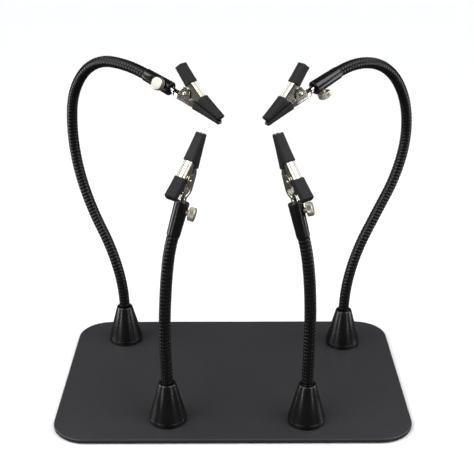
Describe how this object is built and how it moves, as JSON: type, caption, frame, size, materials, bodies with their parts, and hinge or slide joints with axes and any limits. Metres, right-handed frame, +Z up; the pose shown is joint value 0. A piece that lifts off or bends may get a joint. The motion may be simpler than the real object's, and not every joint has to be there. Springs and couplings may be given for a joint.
{
  "type": "helping hands clamp",
  "caption": "Steel base plate with magnetic cone feet, bendable gooseneck arms and turning alligator clips in rubber boots, for holding small work while soldering.",
  "frame": {"origin": "on the table, under the centre of the base plate", "axes": "+X along the plate's width to the right, -Y to the front where the short arms stand, +Z up"},
  "size_m": [0.2644, 0.1724, 0.2386],
  "materials": {
    "plate_coat": "matte powder coat",
    "pad_rubber": "matte foam rubber",
    "gloss_black": "gloss black",
    "neck_black": "satin black oxide",
    "magnet_nickel": "nickel plated",
    "screw_nickel": "nickel plated, knurled",
    "clip_nickel": "bright nickel",
    "spring_wire": "plated spring wire",
    "boot_rubber": "matte, fine lengthwise grain"
  },
  "bodies": {
    "base": {"base_plate": "plate_coat", "anti_slip_pad": "pad_rubber"},
    "rear_left_magnet_base": {"rear_left_magnet": "magnet_nickel"},
    "rear_left_foot": {"rear_left_cone": "gloss_black", "rear_left_neck_1": "neck_black"},
    "rear_left_bend_2": {"rear_left_neck_2": "neck_black"},
    "rear_left_bend_3": {"rear_left_neck_3": "neck_black"},
    "rear_left_hand": {"rear_left_neck_4": "neck_black", "rear_left_clip_holder": "gloss_black"},
    "rear_left_screw": {"rear_left_thumb_screw": "screw_nickel"},
    "rear_left_clip": {"rear_left_lower_jaw": "clip_nickel", "rear_left_rivet": "clip_nickel", "rear_left_spring": "spring_wire", "rear_left_lower_nose_boot": "boot_rubber"},
    "rear_left_lever": {"rear_left_upper_jaw": "clip_nickel", "rear_left_upper_nose_boot": "boot_rubber", "rear_left_thumb_boot": "boot_rubber"},
    "rear_right_magnet_base": {"rear_right_magnet": "magnet_nickel"},
    "rear_right_foot": {"rear_right_cone": "gloss_black", "rear_right_neck_1": "neck_black"},
    "rear_right_bend_2": {"rear_right_neck_2": "neck_black"},
    "rear_right_bend_3": {"rear_right_neck_3": "neck_black"},
    "rear_right_hand": {"rear_right_neck_4": "neck_black", "rear_right_clip_holder": "gloss_black"},
    "rear_right_screw": {"rear_right_thumb_screw": "screw_nickel"},
    "rear_right_clip": {"rear_right_lower_jaw": "clip_nickel", "rear_right_rivet": "clip_nickel", "rear_right_spring": "spring_wire", "rear_right_lower_nose_boot": "boot_rubber"},
    "rear_right_lever": {"rear_right_upper_jaw": "clip_nickel", "rear_right_upper_nose_boot": "boot_rubber", "rear_right_thumb_boot": "boot_rubber"},
    "front_left_magnet_base": {"front_left_magnet": "magnet_nickel"},
    "front_left_foot": {"front_left_cone": "gloss_black", "front_left_neck_1": "neck_black"},
    "front_left_bend_2": {"front_left_neck_2": "neck_black"},
    "front_left_hand": {"front_left_neck_3": "neck_black", "front_left_clip_holder": "gloss_black"},
    "front_left_screw": {"front_left_thumb_screw": "screw_nickel"},
    "front_left_clip": {"front_left_lower_jaw": "clip_nickel", "front_left_rivet": "clip_nickel", "front_left_spring": "spring_wire", "front_left_lower_nose_boot": "boot_rubber"},
    "front_left_lever": {"front_left_upper_jaw": "clip_nickel", "front_left_upper_nose_boot": "boot_rubber", "front_left_thumb_boot": "boot_rubber"},
    "front_right_magnet_base": {"front_right_magnet": "magnet_nickel"},
    "front_right_foot": {"front_right_cone": "gloss_black", "front_right_neck_1": "neck_black"},
    "front_right_bend_2": {"front_right_neck_2": "neck_black"},
    "front_right_hand": {"front_right_neck_3": "neck_black", "front_right_clip_holder": "gloss_black"},
    "front_right_screw": {"front_right_thumb_screw": "screw_nickel"},
    "front_right_clip": {"front_right_lower_jaw": "clip_nickel", "front_right_rivet": "clip_nickel", "front_right_spring": "spring_wire", "front_right_lower_nose_boot": "boot_rubber"},
    "front_right_lever": {"front_right_upper_jaw": "clip_nickel", "front_right_upper_nose_boot": "boot_rubber", "front_right_thumb_boot": "boot_rubber"}
  },
  "joints": [
    {"name": "rear_left_slide", "type": "slide", "parent": "base", "child": "rear_left_magnet_base", "axis": [0, 1, 0], "range_m": [-0.04, 0.015]},
    {"name": "rear_left_turn", "type": "hinge", "parent": "rear_left_magnet_base", "child": "rear_left_foot", "pos_m": [-0.0863, 0.0555, 0.004], "axis": [0, 0, 1], "continuous": true},
    {"name": "rear_left_bend_1", "type": "hinge", "parent": "rear_left_foot", "child": "rear_left_bend_2", "pos_m": [-0.10234, 0.06715, 0.09545], "axis": [0.5878, 0.809, 0], "range_deg": [-20, 20]},
    {"name": "rear_left_bend_2", "type": "hinge", "parent": "rear_left_bend_2", "child": "rear_left_bend_3", "pos_m": [-0.12171, 0.08123, 0.15583], "axis": [0.5878, 0.809, 0], "range_deg": [-25, 22]},
    {"name": "rear_left_bend_3", "type": "hinge", "parent": "rear_left_bend_3", "child": "rear_left_hand", "pos_m": [-0.11061, 0.07316, 0.21756], "axis": [0.5878, 0.809, 0], "range_deg": [-30, 20]},
    {"name": "rear_left_screw_turn", "type": "hinge", "parent": "rear_left_hand", "child": "rear_left_screw", "pos_m": [-0.04738, 0.02722, 0.22046], "axis": [-0.4691, -0.8207, 0.3262], "range_deg": [0, 720]},
    {"name": "rear_left_clip_turn", "type": "hinge", "parent": "rear_left_hand", "child": "rear_left_clip", "pos_m": [-0.04236, 0.02358, 0.21851], "axis": [0.7716, -0.5606, -0.3007], "continuous": true},
    {"name": "rear_left_jaw_open", "type": "hinge", "parent": "rear_left_clip", "child": "rear_left_lever", "pos_m": [-0.03031, 0.01482, 0.21821], "axis": [-0.5878, -0.809, 0], "range_deg": [0, 23], "stiffness_Nm_per_rad": 0.05, "springref_deg": -34.38, "deforming": ["rear_left_spring"]},
    {"name": "rear_right_slide", "type": "slide", "parent": "base", "child": "rear_right_magnet_base", "axis": [0, 1, 0], "range_m": [-0.04, 0.02]},
    {"name": "rear_right_turn", "type": "hinge", "parent": "rear_right_magnet_base", "child": "rear_right_foot", "pos_m": [0.088, 0.0486, 0.004], "axis": [0, 0, 1], "continuous": true},
    {"name": "rear_right_bend_1", "type": "hinge", "parent": "rear_right_foot", "child": "rear_right_bend_2", "pos_m": [0.10423, 0.06083, 0.09517], "axis": [-0.6018, 0.7986, 0], "range_deg": [-20, 20]},
    {"name": "rear_right_bend_2", "type": "hinge", "parent": "rear_right_bend_2", "child": "rear_right_bend_3", "pos_m": [0.13142, 0.08132, 0.15071], "axis": [-0.6018, 0.7986, 0], "range_deg": [-22, 25]},
    {"name": "rear_right_bend_3", "type": "hinge", "parent": "rear_right_bend_3", "child": "rear_right_hand", "pos_m": [0.12241, 0.07453, 0.21247], "axis": [-0.6018, 0.7986, 0], "range_deg": [-20, 30]},
    {"name": "rear_right_screw_turn", "type": "hinge", "parent": "rear_right_hand", "child": "rear_right_screw", "pos_m": [0.06141, 0.02856, 0.2208], "axis": [0.3859, 0.0305, -0.922], "range_deg": [0, 720]},
    {"name": "rear_right_clip_turn", "type": "hinge", "parent": "rear_right_hand", "child": "rear_right_clip", "pos_m": [0.05651, 0.02487, 0.21863], "axis": [-0.7528, -0.5673, -0.3338], "continuous": true},
    {"name": "rear_right_jaw_open", "type": "hinge", "parent": "rear_right_clip", "child": "rear_right_lever", "pos_m": [0.04463, 0.01592, 0.21782], "axis": [-0.6018, 0.7986, 0], "range_deg": [0, 23], "stiffness_Nm_per_rad": 0.05, "springref_deg": -34.38, "deforming": ["rear_right_spring"]},
    {"name": "front_left_slide", "type": "slide", "parent": "base", "child": "front_left_magnet_base", "axis": [0, 1, 0], "range_m": [-0.01, 0.04]},
    {"name": "front_left_turn", "type": "hinge", "parent": "front_left_magnet_base", "child": "front_left_foot", "pos_m": [-0.0453, -0.0601, 0.004], "axis": [0, 0, 1], "continuous": true},
    {"name": "front_left_bend_1", "type": "hinge", "parent": "front_left_foot", "child": "front_left_bend_2", "pos_m": [-0.04576, -0.06042, 0.06999], "axis": [-0.5736, 0.8192, 0], "range_deg": [-25, 25]},
    {"name": "front_left_bend_2", "type": "hinge", "parent": "front_left_bend_2", "child": "front_left_hand", "pos_m": [-0.04409, -0.05925, 0.10592], "axis": [-0.5736, 0.8192, 0], "range_deg": [-25, 25]},
    {"name": "front_left_screw_turn", "type": "hinge", "parent": "front_left_hand", "child": "front_left_screw", "pos_m": [-0.03405, -0.05223, 0.15777], "axis": [0.9529, -0.196, -0.2314], "range_deg": [0, 720]},
    {"name": "front_left_clip_turn", "type": "hinge", "parent": "front_left_hand", "child": "front_left_clip", "pos_m": [-0.03231, -0.05101, 0.16391], "axis": [0.268, 0.1877, 0.9449], "continuous": true},
    {"name": "front_left_jaw_open", "type": "hinge", "parent": "front_left_clip", "child": "front_left_lever", "pos_m": [-0.03002, -0.05205, 0.1786], "axis": [0.8903, -0.423, -0.1685], "range_deg": [0, 23], "stiffness_Nm_per_rad": 0.05, "springref_deg": -34.38, "deforming": ["front_left_spring"]},
    {"name": "front_right_slide", "type": "slide", "parent": "base", "child": "front_right_magnet_base", "axis": [0, 1, 0], "range_m": [-0.009, 0.015]},
    {"name": "front_right_turn", "type": "hinge", "parent": "front_right_magnet_base", "child": "front_right_foot", "pos_m": [0.0512, -0.062, 0.004], "axis": [0, 0, 1], "continuous": true},
    {"name": "front_right_bend_1", "type": "hinge", "parent": "front_right_foot", "child": "front_right_bend_2", "pos_m": [0.05175, -0.06239, 0.06999], "axis": [0.5736, 0.8192, 0], "range_deg": [-20, 20]},
    {"name": "front_right_bend_2", "type": "hinge", "parent": "front_right_bend_2", "child": "front_right_hand", "pos_m": [0.05085, -0.06176, 0.10596], "axis": [0.5736, 0.8192, 0], "range_deg": [-20, 20]},
    {"name": "front_right_screw_turn", "type": "hinge", "parent": "front_right_hand", "child": "front_right_screw", "pos_m": [0.0417, -0.05534, 0.1581], "axis": [0.9576, -0.1163, 0.2635], "range_deg": [0, 720]},
    {"name": "front_right_clip_turn", "type": "hinge", "parent": "front_right_hand", "child": "front_right_clip", "pos_m": [0.04012, -0.05424, 0.16431], "axis": [-0.2422, 0.1696, 0.9553], "continuous": true},
    {"name": "front_right_jaw_open", "type": "hinge", "parent": "front_right_clip", "child": "front_right_lever", "pos_m": [0.03823, -0.05556, 0.17903], "axis": [0.8947, 0.4199, 0.1523], "range_deg": [0, 23], "stiffness_Nm_per_rad": 0.05, "springref_deg": -34.38, "deforming": ["front_right_spring"]}
  ]
}
